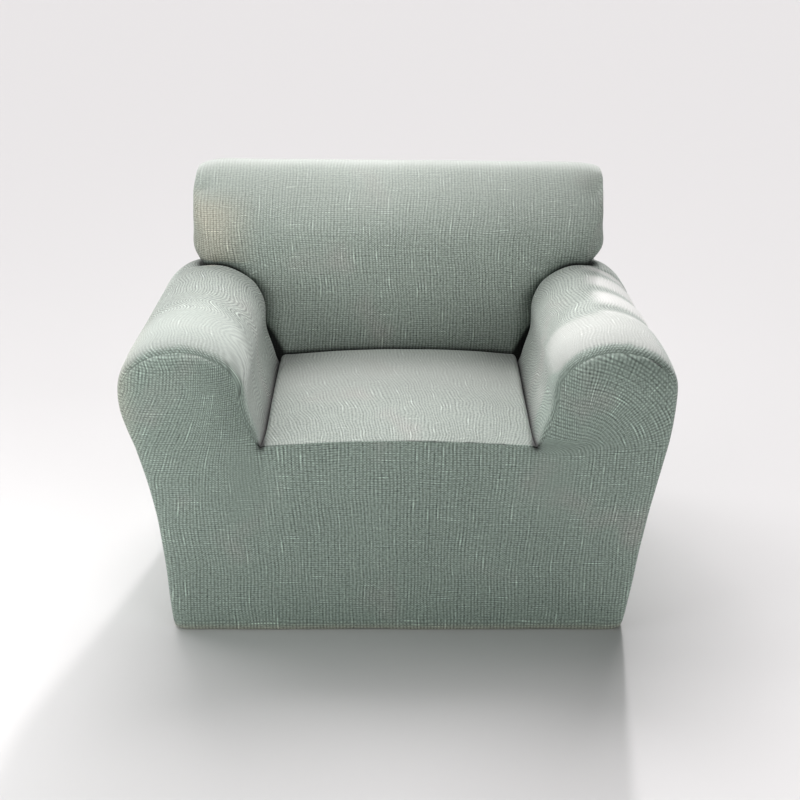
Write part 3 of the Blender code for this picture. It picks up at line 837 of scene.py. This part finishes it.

# %% Marks on the whole skin
# Painted warm light, a yellow tint, on the backrest's left end and the left arm's outer edge. The hem is
# yellower too.
WARM_LIGHT_REACH = (0.300, 0.460)
WARM_LIGHT_TOP = (0.730, 0.800)
WARM_LIGHT_END_LOSS = 0.6  # how much of the yellow is gone where the end faces left
WARM_LIGHT_ARM_REACH = (0.500, 0.580)
ARM_WARM_LIGHT = 0.6
HEM_YELLOW = 0.7
HEM_YELLOW_HEIGHT = 0.020
HOLLOW_PLACE = (0.310, 0.340)
HOLLOW_SIZE = (0.045, 0.090)
HOLLOW_DEPTH = 0.1
# The right arm's loose folds get a painted highlight, nearly white, on their crests and painted shade in their
# troughs.
FOLD_WIDTH = 0.024
FOLD_CONTRAST = 1.6
FOLD_MARK_REACH = (0.400, 0.440)
FOLD_MARK_HEIGHT = (0.525, 0.570)
FOLD_MARK_DEPTHS = (0.19, 0.23)
# Faces that look forwards or sideways keep a coarse weave and a greener tone. The tops get a greyer tone and a
# thinner weave: painted light for the bright light on them, and partly a smoother stretched cloth.
FRONT_FACING = (0.10, 0.60)  # how much a face must look forwards before its weave shows, and shows fully
SIDE_FACING = (0.45, 0.95)
TOP_FACING = (0.10, 0.60)
FACING_WOBBLE = 0.16
WOBBLE_WAVES = np.array((45.0, 20.0, 45.0))  # in a metre, along each axis


def blob(*offsets):
    """1 at a place and a soft fall round it. Each offset is in sizes of the blob."""
    return np.exp(-sum(offset**2 for offset in offsets))


x, y, z = skin_points.T
on_back = (z > ARM_TOP) & (y > SEAT_DEPTH)
warm_light_back = step(*WARM_LIGHT_REACH, -x) * (1.0 - step(*WARM_LIGHT_TOP, z))
warm_light_back *= 1.0 - WARM_LIGHT_END_LOSS * np.clip(-normals[:, 0], 0.0, 1.0)
warm_light_back *= 1.0 - np.clip(normals[:, 1], 0.0, 1.0)  # none on the rear
warm_light_left = np.where(on_back, warm_light_back, ARM_WARM_LIGHT * step(*WARM_LIGHT_ARM_REACH, -x))
yellow_hem = HEM_YELLOW - HEM_YELLOW * step(0.0, HEM_YELLOW_HEIGHT, z)
hollow = blob((abs(x) - HOLLOW_PLACE[0]) / HOLLOW_SIZE[0], (z - HOLLOW_PLACE[1]) / HOLLOW_SIZE[1])
on_folds = step(*FOLD_MARK_REACH, x) * step(*FOLD_MARK_HEIGHT, z) * step(*FOLD_MARK_DEPTHS, y) * (y < SEAT_DEPTH)
troughs = sum(blob((y - depth) / FOLD_WIDTH) for depth in LOOSE_FOLDS)
wobble = FACING_WOBBLE * np.array([noise.noise(Vector(point * WOBBLE_WAVES)) for point in skin_points])
woven_and_shaded_tone = step(*FRONT_FACING, abs(normals[:, 1]) + wobble)
woven_and_shaded_tone = np.maximum(woven_and_shaded_tone, step(*SIDE_FACING, normals[:, 0] * np.sign(x)))
on_top = step(*TOP_FACING, normals[:, 2])
marks = {
    "painted_warm_light_and_hem_yellow": np.maximum(warm_light_left, yellow_hem),
    "hollow": hollow * (y < HOLLOW_DEPTH),
    # painted highlight and painted shade of the loose folds
    "crest_painted_highlight": on_folds * np.clip(1.0 - FOLD_CONTRAST * troughs, 0.0, 1.0),
    "trough_painted_shade": on_folds * np.clip(FOLD_CONTRAST * troughs - 1.0, 0.0, 1.0),
    "woven_and_shaded_tone": woven_and_shaded_tone,
}
for name, values in marks.items():
    print(name, "covers", round(float(np.mean(values)) * 100, 1), "% of the points")

# %% [markdown]
# ## Marks that differ from panel to panel
#
# Each panel has its own width of painted dark and of painted soft shade round a tuck, by how far into the tuck
# one sees. The front end of an arm, the fullest part of the seat and the upper backrest are painted paler, as
# painted light, and their weave is thinner, partly because the cloth is stretched most there. On an arm the
# coarse weave and greener tone of the front reach a little way over the edge, further on the right arm than
# on the left.

# %% Marks of one panel
# A tuck gets painted shade: a dark line along its bottom and a softer shade round it.
TUCK_WIDTH = 0.0070
TUCK_MARGINS = {
    # panel: how far from the fold's bottom line the painted shade is quite dark, and how far the soft painted
    # shade reaches
    FRONT: (0.000, 0.010),
    ARM_LEFT: (0.004, 0.050),
    ARM_RIGHT: (0.004, 0.050),
    SEAT: (0.005, 0.016),
    BACK: (0.007, 0.030),
    OUTSIDE_BACK: (0.0, 0.010),
}
REAR_MARGIN = 0.013  # added in the tuck between the seat and the back
REAR_MARGIN_RISE = 0.040
# Painted shade along the seat's corner fold and in the seat's pulled-in rear corners.
CORNER_FOLD_WIDTH = 0.0045
CORNER_FOLD_DARKNESS = 0.9
SEAT_CORNER_SIZE = (0.105, 0.100)  # across and deep, of the pulled-in corners at the seat's rear
SEAT_CORNER_DARKNESS = 0.65
# Painted light: the seat's fullest part, the backrest above these heights and an arm's front end are painted
# paler; their weave is thinner, partly because the cloth is stretched smooth there.
SEAT_PAINTED_LIGHT = (0.375, 0.150)  # depth of the seat's fullest part, and its size
BACK_PAINTED_LIGHT = (0.640, 0.830)
ARM_PAINTED_LIGHT_DEPTHS = {ARM_LEFT: 0.245, ARM_RIGHT: 0.215}  # how far back an arm's front end is pulled smooth
ARM_PAINTED_LIGHT_FADE = (-0.02, 0.01)
WOVEN_DEPTHS = {ARM_LEFT: (0.035, 0.010), ARM_RIGHT: (0.115, 0.028)}  # over an arm's front edge, low and high
WOVEN_DEPTH_HEIGHTS = (0.500, 0.580)
WOVEN_FADE = 0.024
WOVEN_EDGE_WOBBLE = 0.06
# Painted shade on an arm's top, just behind its front edge.
FRONT_SHADE = 0.35
FRONT_SHADE_DEPTHS = (0.040, 0.150)

in_rear_tuck = step(SEAT_DEPTH - 2 * REAR_MARGIN_RISE, SEAT_DEPTH - REAR_MARGIN_RISE, y)
in_rear_tuck *= 1.0 - step(SEAT_HEIGHT + REAR_MARGIN_RISE, SEAT_HEIGHT + 2 * REAR_MARGIN_RISE, z)
# painted shade in the seat's rear corners
corner = blob((abs(x) - SEAT_HALF_WIDTH) / SEAT_CORNER_SIZE[0], (y - SEAT_DEPTH) / SEAT_CORNER_SIZE[1])


def arm_marks(panel, found):
    (low, high), end = WOVEN_DEPTHS[panel], ARM_PAINTED_LIGHT_DEPTHS[panel]
    start = low + (high - low) * step(*WOVEN_DEPTH_HEIGHTS, z)
    over_edge = 1.0 - step(start, start + WOVEN_FADE, y - WOVEN_EDGE_WOBBLE * wobble)
    found["woven_and_shaded_tone"] = np.maximum(woven_and_shaded_tone, over_edge)
    # painted light on the top of an arm's front end
    near_front = 1.0 - step(end + ARM_PAINTED_LIGHT_FADE[0], end + ARM_PAINTED_LIGHT_FADE[1], y)
    found["stretch_and_painted_light"] = on_top * near_front * (1.0 - found["woven_and_shaded_tone"])
    # painted shade just behind an arm's front edge
    front_shade = FRONT_SHADE * on_top * (1.0 - step(*FRONT_SHADE_DEPTHS, y))
    found["shade"] = np.maximum(found["shade"], front_shade)


def marks_of(panel):
    """All marks of one panel's points, by name."""
    margin, reach = TUCK_MARGINS[panel]
    if panel in (SEAT, BACK):
        margin = margin + REAR_MARGIN * in_rear_tuck
    # painted shade, dark down in a tuck
    tuck = blob(np.maximum(from_tuck - margin, 0.0) / TUCK_WIDTH)
    if panel == SEAT:
        tuck = np.maximum(tuck, CORNER_FOLD_DARKNESS * blob(from_fold / CORNER_FOLD_WIDTH))
        tuck = np.maximum(tuck, SEAT_CORNER_DARKNESS * corner)
    # the shade mark is painted soft shade that fades away from a tuck
    found = {**marks, "tuck": tuck, "shade": np.exp(-from_tuck / reach), "stretch_and_painted_light": np.zeros_like(tuck)}
    if panel in (ARM_LEFT, ARM_RIGHT):
        arm_marks(panel, found)
    elif panel == SEAT:
        # painted light on the seat's fullest part
        found["stretch_and_painted_light"] = blob((y - SEAT_PAINTED_LIGHT[0]) / SEAT_PAINTED_LIGHT[1])
    elif panel == BACK:
        # painted light, paler up the backrest
        found["stretch_and_painted_light"] = step(*BACK_PAINTED_LIGHT, z)
    return found


print("marks on an arm:", ", ".join(marks_of(ARM_LEFT)))

# %% [markdown]
# ## Six panels with a thickness
#
# Each panel is cut from the skin and becomes a closed sheet: its outer face, the same face again one cloth
# thickness inside, and a narrow wall round its edge. The panels keep the whole skin's normals, so that
# the shading runs on across a seam.

# %% Panels
SEAM_GAP = 0.0001
ORIGIN = (0.0, 0.6813, 0.8283)  # the frame's origin, behind the seat's edge and above the hem


def open_edges(panel_faces):
    """Each edge that only one face has, as (start, end), with that face and its corner's place in it."""
    owners = {}
    for count, face in enumerate(panel_faces.tolist()):
        for corner in range(4):
            owners[(face[corner], face[(corner + 1) % 4])] = (count, corner)
    return {edge: owner for edge, owner in owners.items() if edge[::-1] not in owners}


def make_panel(panel):
    chosen = face_panels == panel
    panel_faces, panel_uv = faces[chosen], corner_uv[chosen]
    used = np.unique(panel_faces)
    local = np.full(len(skin_points), -1)
    local[used] = np.arange(len(used))
    outer = skin_points[used].copy()
    rim = open_edges(panel_faces)
    inwards = np.zeros_like(outer)
    for (start, end), (count, _) in rim.items():
        along = skin_points[end] - skin_points[start]
        along /= np.linalg.norm(along)
        inward = skin_points[panel_faces[count]].mean(axis=0) - skin_points[start]
        inward -= along * inward.dot(along)
        inward /= np.linalg.norm(inward)
        inwards[local[[start, end]]] += inward
    lengths = np.linalg.norm(inwards, axis=1)
    at_seam = lengths > 0
    outer[at_seam] += inwards[at_seam] / lengths[at_seam, None] * SEAM_GAP / 2
    inner = outer - CLOTH * normals[used]
    here = local[panel_faces]
    walls = [[local[b], local[a], local[a] + len(used), local[b] + len(used)] for a, b in rim]
    wall_uv = []
    for (a, b), (count, corner) in rim.items():
        uv_a, uv_b = panel_uv[count, corner], panel_uv[count, (corner + 1) % 4]
        wall_uv.append([uv_b, uv_a, uv_a, uv_b])
    all_faces = np.concatenate([here, here[:, ::-1] + len(used), np.array(walls)])
    all_uv = np.concatenate([panel_uv, panel_uv[:, ::-1], np.array(wall_uv)])
    mesh = bpy.data.meshes.new(PANELS[panel])
    mesh.from_pydata(np.concatenate([outer, inner]) - ORIGIN, [], all_faces.tolist())
    mesh.update()
    mesh.uv_layers.new(name="cloth").data.foreach_set("uv", all_uv.astype(np.float32).ravel())
    for name, values in marks_of(panel).items():
        mark = mesh.attributes.new(name, "FLOAT", "POINT")
        mark.data.foreach_set("value", np.tile(values[used], 2).astype(np.float32))
    mesh.shade_smooth()
    corner_normals = np.concatenate([normals[used], -normals[used]])[all_faces.ravel()]
    wall_normals = np.array([mesh.polygons[k].normal for k in range(2 * len(here), len(all_faces))])
    corner_normals[8 * len(here) :] = np.repeat(wall_normals, 4, axis=0)
    mesh.normals_split_custom_set(corner_normals.tolist())
    piece = bpy.data.objects.new(PANELS[panel] + "_cloth", mesh)
    scene.collection.objects.link(piece)
    return piece


pieces = [make_panel(panel) for panel in range(len(PANELS))]
for piece in pieces:
    print(piece.name, len(piece.data.polygons), "faces")

# %% [markdown]
# ## A helper for shader formulas
#
# A weave is a formula of the two cloth coordinates. This helper writes such formulas as shader nodes: each
# method makes one node, links what it is given and returns the node's output.


# %% Shader helper
class Nodes:
    """Makes shader nodes and links them, so that a pattern reads as a formula."""

    def __init__(self, material):
        self.tree = material.node_tree

    def put(self, socket, value):
        if isinstance(value, bpy.types.NodeSocket):
            self.tree.links.new(value, socket)
        else:
            socket.default_value = value

    def math(self, operation, *values):
        node = self.tree.nodes.new("ShaderNodeMath")
        node.operation = operation
        for socket, value in zip(node.inputs, values):
            self.put(socket, value)
        return node.outputs[0]

    def uneven(self, name, x, y):
        """One of the noises of the table, at a place that is counted in threads."""
        x_waves, y_waves, x_shift, y_shift, detail = NOISES[name]
        return self.noise(self.scaled(x, x_waves, x_shift), self.scaled(y, y_waves, y_shift), detail)

    def join(self, x, y):
        node = self.tree.nodes.new("ShaderNodeCombineXYZ")
        self.put(node.inputs[0], x)
        self.put(node.inputs[1], y)
        return node.outputs[0]

    def split(self, vector):
        node = self.tree.nodes.new("ShaderNodeSeparateXYZ")
        self.put(node.inputs[0], vector)
        return node.outputs

    def noise(self, x, y, detail):
        """Smooth noise, made to swing from about -1 to 1."""
        node = self.tree.nodes.new("ShaderNodeTexNoise")
        node.noise_dimensions = "2D"
        node.inputs["Scale"].default_value = 1.0
        node.inputs["Detail"].default_value = detail
        self.put(node.inputs["Vector"], self.join(x, y))
        return self.math("MULTIPLY_ADD", node.outputs["Fac"], 4.0, -2.0)

    def mark(self, name):
        node = self.tree.nodes.new("ShaderNodeAttribute")
        node.attribute_name = name
        return node.outputs["Fac"]

    def scaled(self, value, factor, offset=0.0):
        return self.math("MULTIPLY_ADD", value, factor, offset)

    def less(self, value, loss):
        """1 where a value is 0, and 1 less the loss where it is 1."""
        return self.scaled(value, -loss, 1.0)

    def times(self, one, other):
        return self.math("MULTIPLY", one, other)

    def plus(self, one, other):
        return self.math("ADD", one, other)

    def fade(self, value, low, high):
        node = self.tree.nodes.new("ShaderNodeMapRange")
        node.interpolation_type = "SMOOTHSTEP"
        for name, number in (("Value", value), ("From Min", low), ("From Max", high)):
            self.put(node.inputs[name], number)
        return node.outputs["Result"]

    def wave(self, phase):
        """1 at whole numbers and -1 halfway between."""
        return self.math("COSINE", self.scaled(phase, 2 * math.pi))

    def mix(self, share, one, other):
        node = self.tree.nodes.new("ShaderNodeMix")
        node.data_type = "RGBA"
        self.put(node.inputs["Factor"], share)
        for socket, value in ((node.inputs[6], one), (node.inputs[7], other)):  # its colour sockets
            self.put(socket, value)
        return node.outputs[2]

    def shade(self, colour, factor):
        node = self.tree.nodes.new("ShaderNodeVectorMath")
        node.operation = "SCALE"
        self.put(node.inputs[0], colour)
        self.put(node.inputs["Scale"], factor)
        return node.outputs[0]


# %% [markdown]
# ## The cloth
#
# The cloth is a soft stretch weave that looks like coarse linen. Light columns of thread, about 7 mm apart,
# stand over finer rows, about 4.6 mm apart, with a pale knot where they cross and a dark hole between.
# No thread is even: a column fades and returns along its length, a few rows and single knots are whiter,
# and the dye is a little cloudy. A cosine across the cloth coordinates gives the threads, and slow noises
# bend, fade and whiten them.

# %% Weave
COLUMN_PITCH = 0.0070
ROW_PITCH = 0.0046
NOISES = {
    # what it varies: waves a column and a row, shift across and along, detail
    "column bend": (0.08, 0.05, 0.0, 0.0, 1.5),
    "row bend": (0.06, 0.07, 0.0, 31.0, 1.0),
    "column life": (0.9, 0.075, 0.0, 0.0, 1.0),
    "row life": (0.11, 0.9, 0.0, 57.0, 1.0),
    "patch": (0.09, 0.07, 17.0, 5.0, 2.0),
    "speck": (1.3, 1.1, 9.0, 3.0, 2.0),
    "cloud": (0.035, 0.025, 0.0, 0.0, 2.0),
}
ROW_WANDER = 0.5
# how strong a thread is: swing with its noise, and middle
COLUMN_LIFE = (0.50, 0.75)
ROW_LIFE = (0.32, 0.55)
KNOT_LIFE = (-0.35, 0.50)
DOTTING = (0.4, 0.6)
# a slub is a thick pale bit of thread: from where its noise makes one, and how wide it is on the wave
ROW_SLUBS = (0.70, 1.10)
COLUMN_SLUBS = (0.75, 1.15)
SLUB_WIDTH = (-0.2, 0.8)
WEAVE_SHARES = (0.090, 0.100, 0.100, 0.080, 0.22, 0.16)  # columns, rows, knots, specks, row and column slubs


def weave_of(n, wander):
    """The weave's light and dark round 0, its columns, its rows and the clouds in its dye."""
    uv = n.tree.nodes.new("ShaderNodeUVMap")
    uv.uv_map = "cloth"
    u, v, _ = n.split(uv.outputs[0])
    across, along = n.scaled(u, 1 / COLUMN_PITCH), n.scaled(v, 1 / ROW_PITCH)
    column = n.plus(across, n.scaled(n.uneven("column bend", across, along), wander))
    row = n.plus(along, n.scaled(n.uneven("row bend", across, along), ROW_WANDER))
    column_wave, row_wave = n.wave(column), n.wave(row)
    column_life, row_life = n.uneven("column life", column, row), n.uneven("row life", column, row)
    patch = n.uneven("patch", column, row)
    columns = n.times(column_wave, n.scaled(column_life, *COLUMN_LIFE))
    rows = n.times(row_wave, n.scaled(n.plus(row_life, patch), *ROW_LIFE))
    knots = n.times(n.times(column_wave, row_wave), n.scaled(patch, *KNOT_LIFE))
    row_slubs = n.times(n.fade(row_life, *ROW_SLUBS), n.fade(row_wave, *SLUB_WIDTH))
    row_slubs = n.times(row_slubs, n.scaled(column_wave, *DOTTING))
    column_slubs = n.times(n.fade(column_life, *COLUMN_SLUBS), n.fade(column_wave, *SLUB_WIDTH))
    parts = (columns, rows, knots, n.uneven("speck", column, row), row_slubs, column_slubs)
    weave, *others = [n.scaled(part, share) for part, share in zip(parts, WEAVE_SHARES)]
    for other in others:
        weave = n.plus(weave, other)
    return weave, columns, rows, n.uneven("cloud", across, along)


print("a column every", COLUMN_PITCH * 1000, "mm, a row every", ROW_PITCH * 1000, "mm")

# %% [markdown]
# ## Dye, marks and light
#
# The dye is a grey green. The marks work on it here: the tops are painted greyer than the upright faces, for
# the bright light on them, a place of painted light is pale and thin in weave, the crests of the loose folds
# get a nearly white painted highlight, painted shade darkens a tuck and the troughs, warm light is painted on
# at the left end and the hem is yellower. The weave also lifts the surface a little as bump. Cloth scatters
# light at a low angle, which sheen gives. Sheen and specular level are plain numbers.

# %% Cloth material
GREEN = (0.298, 0.362, 0.320, 1.0)
# The greyer tones are painted light: the tops get the grey, and the backrest a little of it.
LIT_GREY_GREEN = (0.314, 0.362, 0.324, 1.0)
TOP_LIGHT_GREY = (0.327, 0.367, 0.335, 1.0)
# the colour of the painted light
PAINTED_LIGHT_PALE = (0.47, 0.49, 0.465, 1.0)
# the painted highlight on the fold crests
PAINTED_HIGHLIGHT_WHITE = (0.60, 0.61, 0.59, 1.0)
# painted warm light at the left end, and the yellower hem
YELLOW = (0.44, 0.425, 0.35, 1.0)
ROSE = (0.350, 0.345, 0.325, 1.0)
LOOKS = {
    # panel: colour, wander in columns, paleness of the painted light, weave left where it is smooth
    FRONT: (GREEN, 0.30, 0.0, 0.62),
    ARM_LEFT: (GREEN, 0.8, 0.0, 1.0),
    ARM_RIGHT: (GREEN, 0.8, 0.80, 0.80),
    SEAT: (GREEN, 0.9, 0.50, 0.80),
    BACK: (LIT_GREY_GREEN, 0.40, 0.30, 0.50),
    OUTSIDE_BACK: (GREEN, 0.4, 0.0, 0.62),
}
WEAVE_STRENGTH = 3.4
WEAVE_LOSSES = {"hollow": 0.6, "stretch_and_painted_light": 0.60, "crest_painted_highlight": 0.85}
# painted shade in the loose folds' troughs, in the tucks and round them
LIGHT_LOSSES = {"trough_painted_shade": 0.30, "tuck": 0.95, "shade": 0.40}
ROSE_CLOUDS = (0.35, 1.3)
ROSE_SHARE = 0.5
CLOUD_LIGHT = 0.045
BUMP_SHARES = (0.6, 0.4)  # columns, rows
BUMP_STRENGTH = 0.5
BUMP_HEIGHT = 0.0006
ROUGHNESS = (-0.2, 0.90)  # swing with the weave, and middle
SHEEN = 0.25
SHEEN_ROUGHNESS = 0.45
SPECULAR_LEVEL = 0.25


def cloth_material(panel):
    colour_where_woven, wander, paleness, smooth_share = LOOKS[panel]
    material = bpy.data.materials.new(PANELS[panel] + "_weave")
    material.use_nodes = True
    n = Nodes(material)
    shader = n.tree.nodes["Principled BSDF"]
    weave, columns, rows, cloud = weave_of(n, wander)
    woven_and_shaded_tone, crest_painted_highlight = n.mark("woven_and_shaded_tone"), n.mark("crest_painted_highlight")
    strength = n.scaled(woven_and_shaded_tone, 1.0 - smooth_share, smooth_share)
    for name, loss in WEAVE_LOSSES.items():
        strength = n.times(strength, n.less(n.mark(name), loss))

    # painted light: the tops greyer than the upright faces
    colour = n.mix(woven_and_shaded_tone, TOP_LIGHT_GREY, colour_where_woven)
    colour = n.mix(n.scaled(n.mark("stretch_and_painted_light"), paleness), colour, PAINTED_LIGHT_PALE)
    colour = n.mix(n.times(n.fade(cloud, *ROSE_CLOUDS), ROSE_SHARE), colour, ROSE)
    # painted warm light at the left end, and the yellower hem
    colour = n.mix(n.mark("painted_warm_light_and_hem_yellow"), colour, YELLOW)
    # a painted highlight on the fold crests
    colour = n.mix(crest_painted_highlight, colour, PAINTED_HIGHLIGHT_WHITE)
    light = n.plus(n.scaled(n.times(weave, strength), WEAVE_STRENGTH, 1.0), n.scaled(cloud, CLOUD_LIGHT))
    for name, loss in LIGHT_LOSSES.items():
        light = n.times(light, n.less(n.mark(name), loss))
    n.put(shader.inputs["Base Color"], n.shade(colour, light))

    bump = n.tree.nodes.new("ShaderNodeBump")
    bump.inputs["Strength"].default_value = BUMP_STRENGTH
    bump.inputs["Distance"].default_value = BUMP_HEIGHT
    height = n.plus(n.scaled(columns, BUMP_SHARES[0]), n.scaled(rows, BUMP_SHARES[1]))
    n.put(bump.inputs["Height"], n.times(height, strength))
    n.put(shader.inputs["Normal"], bump.outputs["Normal"])
    n.put(shader.inputs["Roughness"], n.scaled(weave, *ROUGHNESS))
    shader.inputs["Specular IOR Level"].default_value = SPECULAR_LEVEL
    shader.inputs["Sheen Weight"].default_value = SHEEN
    shader.inputs["Sheen Roughness"].default_value = SHEEN_ROUGHNESS
    return material


for panel, piece in enumerate(pieces):
    piece.data.materials.append(cloth_material(panel))
print(len(bpy.data.materials), "materials in all")

# %% [markdown]
# ## Fastening it all to the frame
#
# Each panel of cloth stands for its solid, which is hidden, and is fastened to the frame's root.

# %% Sheets
for piece, name in zip(pieces, PANELS):
    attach(piece, "root")
    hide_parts(name)
